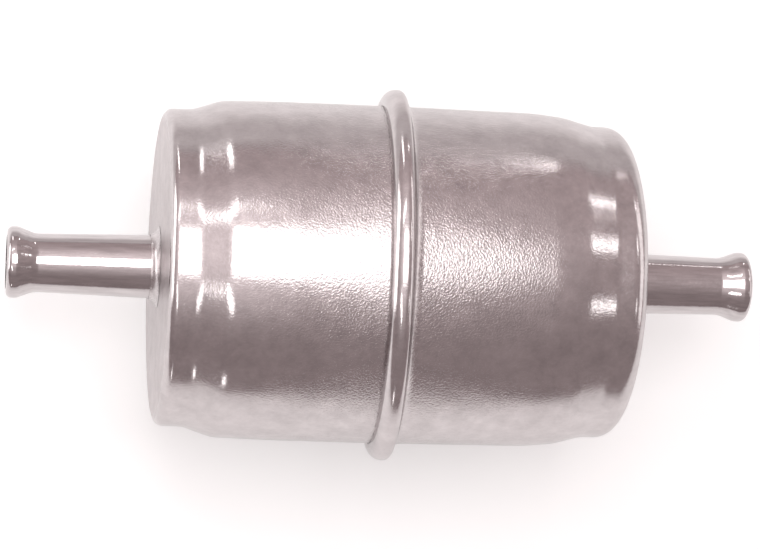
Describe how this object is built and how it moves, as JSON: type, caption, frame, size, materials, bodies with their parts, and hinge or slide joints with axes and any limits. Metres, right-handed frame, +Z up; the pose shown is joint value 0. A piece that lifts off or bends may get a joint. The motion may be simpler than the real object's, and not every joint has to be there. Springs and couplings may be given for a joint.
{
  "type": "in-line fuel filter",
  "caption": "Sealed metal in-line fuel filter: two pressed can halves rolled together at a mid seam, a beaded hose tube at each end, and a spring-loaded pleated paper element inside.",
  "frame": {"origin": "middle of the overall length between the two tube mouths, on the axis of the can", "axes": "+X along the axis from the inlet tube to the outlet tube, +Z up with the filter lying on its side, +Y across"},
  "size_m": [0.0998, 0.0496, 0.0496],
  "materials": {
    "zinc_plated_steel": "zinc-plated sheet steel with a fine bright spangle",
    "bright_tube": "smooth bright-plated drawn tube",
    "braze": "plated braze fillet",
    "tinplate": "dull tinplate",
    "spring_steel": "bright hard-drawn wire",
    "filter_paper": "matt resin-treated pleated paper",
    "plastisol": "cured plastisol adhesive",
    "nitrile_rubber": "moulded nitrile rubber",
    "seam_sealant": "cured seam sealing compound"
  },
  "bodies": {
    "housing": {"inlet_shell": "zinc_plated_steel", "outlet_shell": "zinc_plated_steel", "seam_sealing_ring": "seam_sealant", "inlet_tube": "bright_tube", "outlet_tube": "bright_tube", "inlet_braze_ring": "braze", "outlet_braze_ring": "braze", "retaining_spring": "spring_steel"},
    "element": {"inlet_end_cap": "tinplate", "inlet_potting": "plastisol", "pleated_paper": "filter_paper", "pleat_clip": "tinplate", "perforated_core": "tinplate", "outlet_potting": "plastisol", "outlet_end_cap": "tinplate", "outlet_grommet": "nitrile_rubber"}
  },
  "joints": [
    {"name": "element_slide", "type": "slide", "parent": "housing", "child": "element", "axis": [-1, 0, 0], "range_m": [0, 0.002], "stiffness_N_per_m": 2500, "springref_m": -0.004, "deforming": ["retaining_spring"]}
  ]
}
